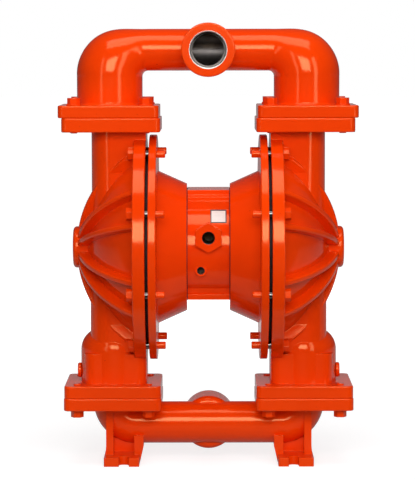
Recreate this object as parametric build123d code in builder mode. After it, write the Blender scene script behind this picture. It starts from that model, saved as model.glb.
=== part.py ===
from build123d import *
from math import acos, cos, degrees, hypot, radians, sin, sqrt
import os

# Air operated double diaphragm pump, metal, with 2 inch ports.
# X runs along the main shaft, -Y is the outlet port side, Z is up.
# The origin is on the floor, under the middle of the shaft.

os.makedirs("parts", exist_ok=True)

# Heights of the inlet side above the floor, and the gaps from the flanges to the joint plates
inlet_pipe_z = 62.0
inlet_joint_z = 112.0
lower_plate_gap = 36.0
upper_plate_gap = 6.0
outlet_pipe_up = 109.0

# Clearances
running_gap = 0.05
fit_gap = 0.1
seat_gap = 0.3
guide_gap = 0.8
bolt_clearance = 0.5
thread_clearance = 0.1
stop_gap = 0.3

# Centre block and its front rails
block_half = 34.0
bulge_half_h = 64.0
rail_front = 48.0
rail_step = 5.0
rail_base_h = 14.0
rail_lip_h = 6.0
rail_top_h = 3.3
block_head_h = 7.7
bulge_to_lip = 10.5
block_lip_h = 8.0
block_lip_in = 4.0
block_rear = 62.0
block_rear_chamfer = 5.0
gasket_t = 1.0
spigot_r = 48.0

# Air inlet, gauge port and label on the block's front
inlet_boss_up = 21.0
inlet_boss_af = 42.0
inlet_boss_proud = 9.0
air_inlet_r = 9.0
air_inlet_depth = 56.0
air_gallery_r = 6.0
air_gallery_up = 26.0
gauge_port_r = 5.55
gauge_pad_r = 9.5
gauge_pad_proud = 2.5
gauge_port_x = -12.3
gauge_port_down = 32.6
gauge_port_depth = 20.0
mouth_chamfer = 1.5
label_w = 26.0
label_h = 27.6
label_x = 16.2
label_t = 0.4

# Air chambers
chamber_depth = 60.6
chamber_wall = 9.0
cone_small_r = 104.0
cone_big_r = 125.0
air_flange_t = 12.3
flange_draft = 1.5
flange_r = 184.0
flange_edge_r = 1.5

# Diaphragm rim and flange bolting
rim_t = 4.9
rim_w = 19.0
rim_to_bolt = 4.0
bolt_edge = 16.5
chamber_bolt_count = 8

# Fluid caps
cap_flange_t = 19.8
cap_wall = 9.0
dome_centre_back = 80.1
rib_h = 17.0
rib_t = 9.5
rib_crest_r = 3.0
rib_root_share = 0.8
rib_angles = (20, 53.5, 74, 106, 126.5, 160)
end_boss_r = 34.0
end_boss_proud = 8.6
end_boss_edge_r = 6.0
neck_to_bolt = 3.7
neck_corner_r = 33.0
outlet_neck_depth = 89.5
inlet_neck_depth = 92.5
passage_r = 27.0
passage_out = 50.0

# Valve axes, measured outwards from the caps' joint face
outlet_axis_out = 60.0
inlet_axis_out = 55.0

# Bolted plates of the four manifold joints
plate_depth = 160.0
plate_corner_r = 9.0
plate_edge_r = 2.0
plate_bolt_half = 58.0
outlet_bolt_in = 2.0
outlet_plate_w = 162.0
outlet_plate_t = 20.0
outlet_cap_plate_w = 159.0
outlet_cap_plate_t = 23.0
outlet_cap_plate_in = 4.0
inlet_plate_w = 158.0
inlet_plate_t = 20.4
inlet_cap_plate_w = 156.5
inlet_cap_plate_t = 20.0

# Inlet ball cage under each fluid cap
cage_r = 54.0
cage_wall = 10.0
cage_shoulder_h = 72.0
cage_shoulder_r = 35.0
cage_front_half = 51.0
cage_front_h = 69.0
cage_front_corner_r = 17.0
cage_top_step = 6.0

# Ball valves
ball_r = 32.0
ball_lift = 15.0
seat_outer_r = 48.0
seat_h = 12.0
seat_bore_r = 24.0
seat_mouth_r = 29.0
oring_r = 1.8
guide_t = 7.0
guide_count = 4
guide_stop_r = 14.0
guide_top_h = 17.0
guide_root = 1.0
seat_pocket_r = 31.0
seat_pocket_h = 9.0

# Outlet manifold
manifold_wall = 8.5
outlet_leg_r = 53.5
outlet_pipe_r = 34.0
outlet_elbow_r = 73.0
outlet_corner_r = 9.0
elbow_section_count = 7
leg_root_r = 4.0

# Ports of both manifolds
port_boss_r = 43.5
port_reach = 75.0
port_back = 10.0
port_edge_r = 2.0
port_bore_r = 28.6
port_thread_depth = 45.0

# Inlet manifold and its feet
inlet_pipe_r = 34.2
inlet_elbow_r = 36.0
inlet_port_reach = 66.0
foot_base_t = 14.0
foot_base_in = 113.0
foot_base_out = 170.5
foot_base_half = 73.0
foot_web_half = 37.0
foot_outer_web_x = 162.0
foot_inner_web_x = 116.0
foot_web_t = 12.0
foot_web_flare = 6.5
foot_edge_r = 2.5
foot_slot_x = 138.0
foot_slot_w = 16.3
foot_slot_end = 53.0

# Fasteners
bolt_r = 6.0
bolt_af = 18.0
bolt_head_h = 9.5
spot_face_gap = 1.5
chamber_bolt_end = 14.0
plate_bolt_end = 2.0
bolt_tip_chamfer = 1.0
socket_share = 0.85
washer_r = 12.0
washer_t = 2.5
plug_r = 8.3
plug_head_r = 12.0
plug_head_h = 5.5
plug_socket_af = 8.0
plug_up = 37.0
chamber_screw_r = 5.0
chamber_screw_head_r = 8.0
chamber_screw_head_h = 10.0
chamber_screw_depth = 22.0
chamber_screw_wall = 10.6

# Shaft, bushes and diaphragm plates
shaft_r = 12.7
shaft_chamfer = 1.0
shaft_stud_r = 10.0
stud_reach = 11.0
shaft_stroke = 24.0
bush_wall = 4.3
bush_len = 24.0
seal_len = 7.0
diaphragm_t = 5.0
diaphragm_rise = 9.95
plate_r = 64.0
inner_plate_t = 10.0
outer_plate_t = 14.0
plate_rim_r = 4.0

# Pilot rod that the diaphragm plates push over at each end of the stroke
pilot_r = 6.0
pilot_wall = 4.0
pilot_offset = 25.0
pilot_waist_r = 4.0
pilot_land = 8.0
pilot_waist_len = 12.0

# Air distribution valve on the back of the block
valve_flange_half_w = 31.0
valve_flange_edge = 8.0
valve_flange_t = 14.0
valve_barrel_r = 29.0
valve_barrel_half_h = 48.0
valve_sleeve_r = 20.0
spool_r = 14.0
spool_waist_r = 8.0
spool_travel = 16.0
spool_land = 16.0
valve_port_r = 4.0
valve_port_rows = (-30.0, 0.0, 30.0)
valve_port_count = 6
valve_cap_t = 9.0
valve_axis_out = 38.0
valve_screw_r = 4.0
valve_screw_head_r = 6.5
valve_screw_head_h = 8.0
valve_screw_half_w = 18.0
valve_screw_gap = 1.5
valve_screw_depth = 16.0
cap_screw_r = 2.0
cap_screw_head_r = 3.5
cap_screw_head_h = 4.0
cap_screw_circle = 24.5
cap_screw_depth = 14.0
cap_screw_count = 4
exhaust_boss_r = 20.0
exhaust_boss_reach = 47.0
exhaust_r = 12.0
exhaust_thread_depth = 24.0
exhaust_passage_r = 10.0

# Heights that follow from the flanges and plates
shaft_z = inlet_joint_z + inlet_cap_plate_t + lower_plate_gap + flange_r
outlet_joint_z = shaft_z + flange_r + upper_plate_gap + outlet_cap_plate_t
outlet_pipe_z = outlet_joint_z + outlet_pipe_up

# Stations along the shaft, worked out from the sizes above
chamber_end_x = block_half + gasket_t
air_joint_x = chamber_end_x + chamber_depth
cap_joint_x = air_joint_x + rim_t
cap_front_x = cap_joint_x + cap_flange_t
chamber_inner_x = chamber_end_x + chamber_wall
bolt_circle_r = flange_r - bolt_edge
bolt_hole_r = bolt_r + bolt_clearance
tapped_hole_r = bolt_r + thread_clearance
bolt_corner_r = bolt_af / sqrt(3)
neck_half_w = bolt_circle_r * sin(radians(180 / chamber_bolt_count)) - bolt_corner_r - neck_to_bolt
rim_outer_r = bolt_circle_r - bolt_hole_r - rim_to_bolt
rim_inner_r = rim_outer_r - rim_w
outlet_x = cap_joint_x + outlet_axis_out
inlet_x = cap_joint_x + inlet_axis_out
passage_x = cap_joint_x + passage_out
outlet_bolt_x = outlet_x - outlet_bolt_in
outlet_plate_top_z = outlet_joint_z + outlet_plate_t
outlet_cap_plate_z = outlet_joint_z - outlet_cap_plate_t
inlet_plate_z = inlet_joint_z - inlet_plate_t
outlet_cap_plate_x = outlet_x - outlet_cap_plate_in

# The rib crests, the dome and the cavity under it are spheres round one centre
dome_centre_x = cap_joint_x - dome_centre_back
crest_arc_r = hypot(dome_centre_back + cap_flange_t, bolt_circle_r)
dome_arc_r = crest_arc_r - rib_h
cavity_arc_r = dome_arc_r - cap_wall

# A ball rests in its seat's spherical land, one seating gap away from it
seat_land_r = ball_r + seat_gap
ball_rise = sqrt(seat_land_r**2 - seat_mouth_r**2)

shaft_axis = Axis((0, 0, shaft_z), (1, 0, 0))
axial = Plane(origin=(0, 0, shaft_z), x_dir=(1, 0, 0), z_dir=(0, -1, 0))


def save(part, name):
    part.label = name
    export_step(part, f"parts/{name}.step")


def save_pair(right_part, name):
    save(mirror(right_part, about=Plane.YZ), f"{name}_left")
    save(right_part, f"{name}_right")


def across(x):
    """Plane square to the shaft at station x, with local x along Y and local y up."""
    return Plane(origin=(x, 0, shaft_z), x_dir=(0, 1, 0), z_dir=(1, 0, 0))


def arc_x(arc_radius, r):
    """Station along the shaft where a dome arc passes radius r."""
    return dome_centre_x + sqrt(arc_radius**2 - r**2)


def arc_r(arc_radius, x):
    """Radius of a dome arc at station x."""
    return sqrt(arc_radius**2 - (x - dome_centre_x) ** 2)


def dome_point(arc_radius, r_start, r_end):
    """A point on a dome arc about half way between two radii."""
    r = (r_start + r_end) / 2
    return (arc_x(arc_radius, r), r)


# Centre block: bulged front with stepped rails above and a lip below
bulge_r = hypot(rail_front, bulge_half_h)
rail_base_z = bulge_half_h + rail_base_h
rail_lip_z = rail_base_z + rail_lip_h
rail_top_z = rail_lip_z + rail_top_h
block_top = rail_top_z + block_head_h
lip_z = bulge_half_h + bulge_to_lip
block_bottom = lip_z + block_lip_h

with BuildSketch(Plane.YZ) as block_outline:
    with BuildLine():
        ThreePointArc((-rail_front, -bulge_half_h), (-bulge_r, 0), (-rail_front, bulge_half_h))
        Polyline(
            (-rail_front, bulge_half_h),
            (-rail_front, rail_base_z),
            (-rail_front + rail_step, rail_base_z),
            (-rail_front + rail_step, rail_lip_z),
            (-rail_front + 2 * rail_step, rail_lip_z),
            (-rail_front + 2 * rail_step, rail_top_z),
            (-rail_front + 3 * rail_step, rail_top_z),
            (-rail_front + 3 * rail_step, block_top),
            (block_rear - block_rear_chamfer, block_top),
            (block_rear, block_top - block_rear_chamfer),
            (block_rear, -block_bottom + block_rear_chamfer),
            (block_rear - block_rear_chamfer, -block_bottom),
            (-rail_front, -block_bottom),
            (-rail_front, -lip_z),
            (-rail_front + block_lip_in, -lip_z),
            (-rail_front, -bulge_half_h),
        )
    make_face()

boss_face_y = -(bulge_r + inlet_boss_proud)
gauge_face_y = -(sqrt(bulge_r**2 - gauge_port_down**2) + gauge_pad_proud)
air_inlet_z = shaft_z + inlet_boss_up
gauge_port_z = shaft_z - gauge_port_down
gallery_z = air_inlet_z + air_gallery_up
gallery_y = boss_face_y + air_inlet_depth - air_gallery_r
bush_outer_r = shaft_r + running_gap + bush_wall
pilot_sleeve_r = pilot_r + running_gap + pilot_wall
bush_bore_r = bush_outer_r + fit_gap
pilot_bore_r = pilot_sleeve_r + fit_gap
chamber_screw_half = (spigot_r + chamber_screw_r + chamber_screw_wall) / sqrt(2)
valve_screw_up = (
    valve_barrel_half_h + valve_cap_t + cap_screw_head_h + valve_screw_head_r + valve_screw_gap
)
valve_flange_half_h = valve_screw_up + valve_flange_edge
chamber_screw_points = GridLocations(2 * chamber_screw_half, 2 * chamber_screw_half, 2, 2)
valve_screw_points = GridLocations(2 * valve_screw_half_w, 2 * valve_screw_up, 2, 2)
boss_plane = Plane(origin=(0, boss_face_y, air_inlet_z), x_dir=(1, 0, 0), z_dir=(0, -1, 0))
gauge_plane = Plane(
    origin=(gauge_port_x, gauge_face_y, gauge_port_z), x_dir=(1, 0, 0), z_dir=(0, -1, 0)
)
rear_plane = Plane(origin=(0, block_rear, shaft_z), x_dir=(-1, 0, 0), z_dir=(0, 1, 0))

with BuildPart() as center_block:
    with BuildSketch(across(0)):
        add(block_outline.sketch_local)
    extrude(amount=block_half, both=True)
    with BuildSketch(across(0)):
        Circle(spigot_r)
    extrude(amount=chamber_inner_x, both=True)
    with BuildSketch(boss_plane):
        RegularPolygon(inlet_boss_af / 2, 6, major_radius=False, rotation=30)
    extrude(amount=-(inlet_boss_proud + rail_front / 2))
    with BuildSketch(gauge_plane):
        Circle(gauge_pad_r)
    extrude(amount=-(gauge_pad_proud + gauge_pad_r))
    with BuildSketch(boss_plane):
        Circle(air_inlet_r)
    extrude(amount=-air_inlet_depth, mode=Mode.SUBTRACT)
    with BuildSketch(Plane(origin=(0, gallery_y, air_inlet_z))):
        Circle(air_gallery_r)
    extrude(amount=air_gallery_up, mode=Mode.SUBTRACT)
    with BuildSketch(Plane(origin=(0, block_rear, gallery_z), x_dir=(1, 0, 0), z_dir=(0, -1, 0))):
        Circle(air_gallery_r)
    extrude(amount=block_rear - gallery_y, mode=Mode.SUBTRACT)
    with BuildSketch(gauge_plane):
        Circle(gauge_port_r)
    extrude(amount=-gauge_port_depth, mode=Mode.SUBTRACT)
    with BuildSketch(across(0)):
        Circle(bush_bore_r)
        with Locations((pilot_offset, pilot_offset)):
            Circle(pilot_bore_r)
    extrude(amount=chamber_inner_x, both=True, mode=Mode.SUBTRACT)
    for side in (-1, 1):
        with BuildSketch(across(side * block_half)):
            with chamber_screw_points:
                Circle(chamber_screw_r + thread_clearance)
        extrude(amount=-side * chamber_screw_depth, mode=Mode.SUBTRACT)
    with BuildSketch(rear_plane):
        with valve_screw_points:
            Circle(valve_screw_r + thread_clearance)
    extrude(amount=-valve_screw_depth, mode=Mode.SUBTRACT)
    inlet_mouth = center_block.edges().filter_by(GeomType.CIRCLE).group_by(Axis.Y)[0]
    chamfer(inlet_mouth, length=mouth_chamfer)

save(center_block.part, "center_block")

# Plain label on the bulge, right of the air inlet
label_half_angle = degrees(label_h / 2 / bulge_r)
label_angle = degrees(acos(rail_front / bulge_r) - seat_gap / bulge_r) - label_half_angle
label_inner_r = bulge_r + running_gap

with BuildPart() as inlet_label:
    with BuildSketch(across(label_x)):
        with BuildLine():
            low = 180 - (label_angle - label_half_angle)
            size = -2 * label_half_angle
            inner = CenterArc((0, 0), label_inner_r, low, size)
            outer = CenterArc((0, 0), label_inner_r + label_t, low, size)
            Line(inner @ 0, outer @ 0)
            Line(inner @ 1, outer @ 1)
        make_face()
    extrude(amount=label_w / 2, both=True)

save(inlet_label.part, "inlet_label")

# Gaskets between the block and the air chambers
with BuildPart() as block_gasket:
    with BuildSketch(across(block_half)):
        add(block_outline.sketch_local)
        Circle(cone_small_r, mode=Mode.INTERSECT)
        Circle(spigot_r + fit_gap, mode=Mode.SUBTRACT)
        with chamber_screw_points:
            Circle(chamber_screw_r + bolt_clearance, mode=Mode.SUBTRACT)
    extrude(amount=gasket_t)

save_pair(block_gasket.part, "block_gasket")

# Air chambers: an open cone with a wide bolting flange
cone_end_x = air_joint_x - air_flange_t - flange_draft

with BuildPart() as air_chamber:
    with BuildSketch(axial):
        with BuildLine():
            Polyline(
                (chamber_end_x, spigot_r + fit_gap),
                (chamber_end_x, cone_small_r),
                (cone_end_x, cone_big_r),
                (air_joint_x - air_flange_t, flange_r),
                (air_joint_x, flange_r),
                (air_joint_x, rim_inner_r),
                (cone_end_x + chamber_wall / 2, cone_big_r - chamber_wall),
                (chamber_inner_x, cone_small_r - chamber_wall),
                (chamber_inner_x, spigot_r + fit_gap),
                close=True,
            )
        make_face()
    revolve(axis=shaft_axis)
    rim_edges = air_chamber.edges().filter_by(GeomType.CIRCLE).filter_by(
        lambda e: e.radius > flange_r - fit_gap
    )
    fillet(rim_edges, radius=flange_edge_r)
    with BuildSketch(across(air_joint_x)):
        with PolarLocations(bolt_circle_r, chamber_bolt_count, start_angle=180 / chamber_bolt_count):
            Circle(tapped_hole_r)
    extrude(amount=-(air_flange_t + flange_draft), mode=Mode.SUBTRACT)
    with BuildSketch(across(chamber_end_x)):
        with chamber_screw_points:
            Circle(chamber_screw_r + bolt_clearance)
    extrude(amount=chamber_wall, mode=Mode.SUBTRACT)

save_pair(air_chamber.part, "air_chamber")


def plate(x, z, width, thickness):
    """Rounded plate of a manifold joint, resting on height z."""
    with BuildPart() as made:
        with BuildSketch(Plane(origin=(x, 0, z))):
            RectangleRounded(width, plate_depth, plate_corner_r)
        extrude(amount=thickness)
        fillet(made.faces().filter_by(Axis.Z).edges(), radius=plate_edge_r)
    return made.part


def neck(depth, z_from, z_to):
    """Upright channel cast on a fluid cap, flat at the joint face and rounded outside."""
    with BuildPart() as made:
        with BuildSketch(Plane(origin=(cap_joint_x + depth / 2, 0, z_from))):
            Rectangle(depth, 2 * neck_half_w)
        extrude(amount=z_to - z_from)
        outer_corners = made.edges().filter_by(Axis.Z).group_by(Axis.X)[-1]
        fillet(outer_corners, radius=neck_corner_r)
    return made.part


def cage_guides(x, joint_z, wall_r):
    """Upright blades that guide a ball and stop its lift, one seat's joint plane below them."""
    lifted_z = joint_z + ball_rise + ball_lift
    guide_r = ball_r + guide_gap
    stop_z = lifted_z + sqrt(seat_land_r**2 - guide_stop_r**2)
    mid_angle = (acos(guide_stop_r / seat_land_r)) / 2
    with BuildPart() as made:
        for number in range(guide_count):
            angle = radians(360 / guide_count * (number + 0.5))
            radial = Plane(
                origin=(x, 0, 0),
                x_dir=(cos(angle), sin(angle), 0),
                z_dir=(sin(angle), -cos(angle), 0),
            )
            with BuildSketch(radial):
                with BuildLine():
                    Polyline(
                        (seat_land_r, lifted_z),
                        (guide_r, lifted_z),
                        (guide_r, joint_z + ball_rise),
                        (wall_r + guide_root, joint_z + guide_gap),
                        (wall_r + guide_root, stop_z + guide_top_h),
                        (guide_stop_r, stop_z + guide_top_h),
                        (guide_stop_r, stop_z),
                    )
                    ThreePointArc(
                        (guide_stop_r, stop_z),
                        (
                            seat_land_r * cos(mid_angle),
                            lifted_z + seat_land_r * sin(mid_angle),
                        ),
                        (seat_land_r, lifted_z),
                    )
                make_face()
            extrude(amount=guide_t / 2, both=True)
    return made.part


# One cap rib, upright, as an arc-crested blade from the end boss to the flange
rib_root_arc_r = cavity_arc_r + cap_wall / 2
rib_start_x = arc_x(crest_arc_r, end_boss_r)

with BuildPart() as cap_rib:
    with BuildSketch(axial):
        with BuildLine():
            crest_foot = (cap_front_x, arc_r(crest_arc_r, cap_front_x))
            ThreePointArc(
                (rib_start_x, end_boss_r),
                dome_point(crest_arc_r, end_boss_r, crest_foot[1]),
                crest_foot,
            )
            Polyline(
                crest_foot,
                (cap_front_x - cap_flange_t / 2, crest_foot[1]),
                (cap_front_x - cap_flange_t / 2, rim_inner_r),
                (arc_x(rib_root_arc_r, rib_root_share * rim_inner_r), rib_root_share * rim_inner_r),
                (arc_x(rib_root_arc_r, end_boss_r), rib_root_share * end_boss_r),
                (rib_start_x, rib_root_share * end_boss_r),
                (rib_start_x, end_boss_r),
            )
        make_face()
    extrude(amount=rib_t / 2, both=True)
    crest = cap_rib.faces().filter_by(GeomType.CYLINDER).sort_by(Axis.Z)[-1]
    fillet(crest.edges().filter_by(GeomType.CIRCLE), radius=rib_crest_r)

# Fluid caps: ribbed dome, two upright necks, ball cage, two bolting plates
cap_end_x = rib_start_x + end_boss_proud
dome_foot_r = arc_r(dome_arc_r, cap_front_x)
cage_top_z = inlet_joint_z + cage_shoulder_h + cage_shoulder_r
neck_root = end_boss_r

with BuildPart() as fluid_cap:
    with BuildSketch(axial):
        with BuildLine():
            Polyline(
                (arc_x(dome_arc_r, end_boss_r), end_boss_r),
                (cap_end_x, end_boss_r),
                (cap_end_x, 0),
                (cap_joint_x, 0),
                (cap_joint_x, flange_r),
                (cap_front_x, flange_r),
                (cap_front_x, dome_foot_r),
            )
            ThreePointArc(
                (cap_front_x, dome_foot_r),
                dome_point(dome_arc_r, end_boss_r, dome_foot_r),
                (arc_x(dome_arc_r, end_boss_r), end_boss_r),
            )
        make_face()
    revolve(axis=shaft_axis)
    rim_edges = fluid_cap.edges().filter_by(GeomType.CIRCLE).filter_by(
        lambda e: e.radius > flange_r - fit_gap
    )
    fillet(rim_edges, radius=flange_edge_r)
    end_edge = fluid_cap.edges().filter_by(GeomType.CIRCLE).sort_by(Axis.X)[-1]
    fillet(end_edge, radius=end_boss_edge_r)
    for rib_angle in rib_angles:
        for side in (-1, 1):
            add(cap_rib.part.rotate(shaft_axis, side * rib_angle))
    add(neck(outlet_neck_depth, shaft_z + neck_root, outlet_joint_z - outlet_cap_plate_t / 2))
    add(neck(inlet_neck_depth, cage_top_z - cage_shoulder_r, shaft_z - neck_root))
    add(plate(outlet_cap_plate_x, outlet_cap_plate_z, outlet_cap_plate_w, outlet_cap_plate_t))
    add(plate(inlet_x, inlet_joint_z, inlet_cap_plate_w, inlet_cap_plate_t))
    with BuildSketch(Plane.XZ):
        with BuildLine():
            shoulder_z = inlet_joint_z + cage_shoulder_h
            Polyline(
                (inlet_x + cage_r - cage_shoulder_r, cage_top_z),
                (inlet_x, cage_top_z),
                (inlet_x, inlet_joint_z + inlet_cap_plate_t / 2),
                (inlet_x + cage_r, inlet_joint_z + inlet_cap_plate_t / 2),
                (inlet_x + cage_r, shoulder_z),
            )
            CenterArc((inlet_x + cage_r - cage_shoulder_r, shoulder_z), cage_shoulder_r, 0, 90)
        make_face()
    revolve(axis=Axis((inlet_x, 0, 0), (0, 0, 1)))
    with BuildSketch(Plane(origin=(0, 0, inlet_joint_z + inlet_cap_plate_t / 2))):
        with Locations((cap_joint_x + cage_r - cage_top_step / 2, 0)):
            RectangleRounded(
                2 * cage_r - cage_top_step, 2 * cage_front_half, cage_front_corner_r
            )
    extrude(amount=cage_front_h - inlet_cap_plate_t / 2)

    # Chamber behind the diaphragm
    with BuildSketch(axial):
        with BuildLine():
            Polyline(
                (arc_x(cavity_arc_r, 0), 0),
                (cap_joint_x, 0),
                (cap_joint_x, rim_inner_r),
                (arc_x(cavity_arc_r, rim_inner_r), rim_inner_r),
            )
            ThreePointArc(
                (arc_x(cavity_arc_r, rim_inner_r), rim_inner_r),
                dome_point(cavity_arc_r, 0, rim_inner_r),
                (arc_x(cavity_arc_r, 0), 0),
            )
        make_face()
    revolve(axis=shaft_axis, mode=Mode.SUBTRACT)

    # Discharge passage, pocket under the seat and the seat's counterbore
    cavity_r_at_passage = arc_r(cavity_arc_r, passage_x)
    passage_low_z = shaft_z + cavity_r_at_passage - passage_r
    with BuildSketch(Plane(origin=(passage_x, 0, passage_low_z))):
        Circle(passage_r)
    extrude(amount=outlet_joint_z - seat_h - passage_low_z, mode=Mode.SUBTRACT)
    with BuildSketch(Plane(origin=(outlet_x, 0, outlet_joint_z - seat_h - seat_pocket_h))):
        Circle(seat_pocket_r)
    extrude(amount=seat_pocket_h, mode=Mode.SUBTRACT)
    with BuildSketch(Plane(origin=(outlet_x, 0, outlet_joint_z - seat_h))):
        Circle(seat_outer_r + fit_gap)
    extrude(amount=seat_h, mode=Mode.SUBTRACT)

    # Ball cage and suction passage
    with BuildSketch(Plane.XZ):
        with BuildLine():
            inner_shoulder_r = cage_shoulder_r - cage_wall
            cage_bore_r = cage_r - cage_wall
            Polyline(
                (inlet_x + cage_bore_r - inner_shoulder_r, cage_top_z - cage_wall),
                (inlet_x, cage_top_z - cage_wall),
                (inlet_x, inlet_joint_z),
                (inlet_x + cage_bore_r, inlet_joint_z),
                (inlet_x + cage_bore_r, shoulder_z),
            )
            CenterArc(
                (inlet_x + cage_bore_r - inner_shoulder_r, shoulder_z), inner_shoulder_r, 0, 90
            )
        make_face()
    revolve(axis=Axis((inlet_x, 0, 0), (0, 0, 1)), mode=Mode.SUBTRACT)
    suction_top_z = shaft_z - cavity_r_at_passage + passage_r
    with BuildSketch(Plane(origin=(passage_x, 0, shoulder_z))):
        Circle(passage_r)
    extrude(amount=suction_top_z - shoulder_z, mode=Mode.SUBTRACT)
    add(cage_guides(inlet_x, inlet_joint_z, cage_bore_r))

    # Spot faces round the flange bolt heads, cut into the rib ends
    with BuildSketch(across(cap_front_x)):
        with PolarLocations(bolt_circle_r, chamber_bolt_count, start_angle=180 / chamber_bolt_count):
            Circle(bolt_corner_r + spot_face_gap)
    extrude(amount=2 * bolt_head_h, mode=Mode.SUBTRACT)

    # Bolt and plug holes
    with BuildSketch(across(cap_joint_x)):
        with PolarLocations(bolt_circle_r, chamber_bolt_count, start_angle=180 / chamber_bolt_count):
            Circle(bolt_hole_r)
    extrude(amount=cap_flange_t, mode=Mode.SUBTRACT)
    with BuildSketch(Plane(origin=(outlet_bolt_x, 0, outlet_cap_plate_z))):
        with GridLocations(2 * plate_bolt_half, 2 * plate_bolt_half, 2, 2):
            Circle(tapped_hole_r)
    extrude(amount=outlet_cap_plate_t, mode=Mode.SUBTRACT)
    with BuildSketch(Plane(origin=(inlet_x, 0, inlet_joint_z))):
        with GridLocations(2 * plate_bolt_half, 2 * plate_bolt_half, 2, 2):
            Circle(tapped_hole_r)
    extrude(amount=inlet_cap_plate_t, mode=Mode.SUBTRACT)
    plug_z = inlet_joint_z + plug_up
    with BuildSketch(
        Plane(origin=(inlet_x + cage_r + cage_wall, 0, plug_z), x_dir=(0, 1, 0), z_dir=(-1, 0, 0))
    ):
        Circle(plug_r + thread_clearance)
    extrude(amount=2 * cage_wall + fit_gap, mode=Mode.SUBTRACT)

save_pair(fluid_cap.part, "fluid_cap")

# Drain plug in the side of each ball cage
with BuildPart() as drain_plug:
    plug_plane = Plane(origin=(inlet_x + cage_r, 0, plug_z), x_dir=(0, 1, 0), z_dir=(1, 0, 0))
    with BuildSketch(plug_plane):
        Circle(plug_head_r)
    extrude(amount=plug_head_h)
    chamfer(drain_plug.edges().sort_by(Axis.X)[-1], length=mouth_chamfer)
    with BuildSketch(plug_plane):
        Circle(plug_r)
    extrude(amount=-cage_wall)
    with BuildSketch(plug_plane.offset(plug_head_h)):
        RegularPolygon(plug_socket_af / 2, 6, major_radius=False)
    extrude(amount=-plug_head_h, mode=Mode.SUBTRACT)

save_pair(drain_plug.part, "drain_plug")

# Outlet manifold: bolted legs that narrow round each elbow into the cross pipe
pivot_x = outlet_x - outlet_leg_r - outlet_corner_r
pivot_z = outlet_pipe_z - outlet_pipe_r - outlet_corner_r
elbow_out_x = outlet_x + outlet_leg_r
elbow_top_z = outlet_pipe_z + outlet_pipe_r
elbow_arc_x = elbow_out_x - outlet_elbow_r
elbow_arc_z = elbow_top_z - outlet_elbow_r


def elbow_reach(angle):
    """Distance from the pivot at the inner corner to the elbow's outside, angle up from +X."""
    if angle == 0:
        return elbow_out_x - pivot_x
    if angle == 90:
        return elbow_top_z - pivot_z
    ray_x = cos(radians(angle))
    ray_z = sin(radians(angle))
    to_side = (elbow_out_x - pivot_x) / ray_x
    if pivot_z + to_side * ray_z <= elbow_arc_z:
        return to_side
    to_top = (elbow_top_z - pivot_z) / ray_z
    if pivot_x + to_top * ray_x <= elbow_arc_x:
        return to_top
    along = (elbow_arc_x - pivot_x) * ray_x + (elbow_arc_z - pivot_z) * ray_z
    aside = (elbow_arc_x - pivot_x) * ray_z - (elbow_arc_z - pivot_z) * ray_x
    return along + sqrt(outlet_elbow_r**2 - aside**2)


def outlet_channel(wall):
    """One leg, elbow and half of the cross pipe, as a solid smaller all round by the wall."""
    with BuildPart() as made:
        for number in range(elbow_section_count):
            angle = 90 * number / (elbow_section_count - 1)
            far = elbow_reach(angle)
            middle = (far + outlet_corner_r) / 2
            ray = (cos(radians(angle)), 0, sin(radians(angle)))
            section = Plane(
                origin=(pivot_x + middle * ray[0], 0, pivot_z + middle * ray[2]),
                x_dir=ray,
                z_dir=(-ray[2], 0, ray[0]),
            )
            with BuildSketch(section):
                Circle((far - outlet_corner_r) / 2 - wall)
        loft()
        with BuildSketch(Plane(origin=(outlet_x, 0, outlet_joint_z))):
            Circle(outlet_leg_r - wall)
        extrude(amount=pivot_z - outlet_joint_z)
        with BuildSketch(Plane(origin=(0, 0, outlet_pipe_z), x_dir=(0, 1, 0), z_dir=(1, 0, 0))):
            Circle(outlet_pipe_r - wall)
        extrude(amount=pivot_x)
    return made.part


def port_boss(z, reach, toward):
    """Round port boss on a cross pipe, reaching out towards -Y or +Y."""
    face = Plane(origin=(0, toward * reach, z), x_dir=(toward * -1, 0, 0), z_dir=(0, toward, 0))
    with BuildPart() as made:
        with BuildSketch(face):
            Circle(port_boss_r)
        extrude(amount=-(reach + port_back))
        back_edge = made.edges().filter_by(GeomType.CIRCLE).sort_by(Axis.Y)[0 if toward > 0 else -1]
        fillet(back_edge, radius=port_back)
        front_edge = made.edges().filter_by(GeomType.CIRCLE).sort_by(Axis.Y)[-1 if toward > 0 else 0]
        fillet(front_edge, radius=port_edge_r)
    return made.part


def port_bore(z, reach, toward, passage_radius):
    """Threaded mouth of a port and the passage behind it, as the solid to cut away."""
    face = Plane(origin=(0, toward * reach, z), x_dir=(toward * -1, 0, 0), z_dir=(0, toward, 0))
    with BuildPart() as made:
        with BuildSketch(face):
            Circle(port_bore_r)
        extrude(amount=-port_thread_depth)
        with BuildSketch(face):
            Circle(passage_radius)
        extrude(amount=-reach)
        with BuildSketch(face):
            Circle(port_bore_r + mouth_chamfer)
        extrude(amount=-mouth_chamfer, taper=45)
    return made.part


outlet_half = outlet_channel(0)
outlet_passage = outlet_channel(manifold_wall)

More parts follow.
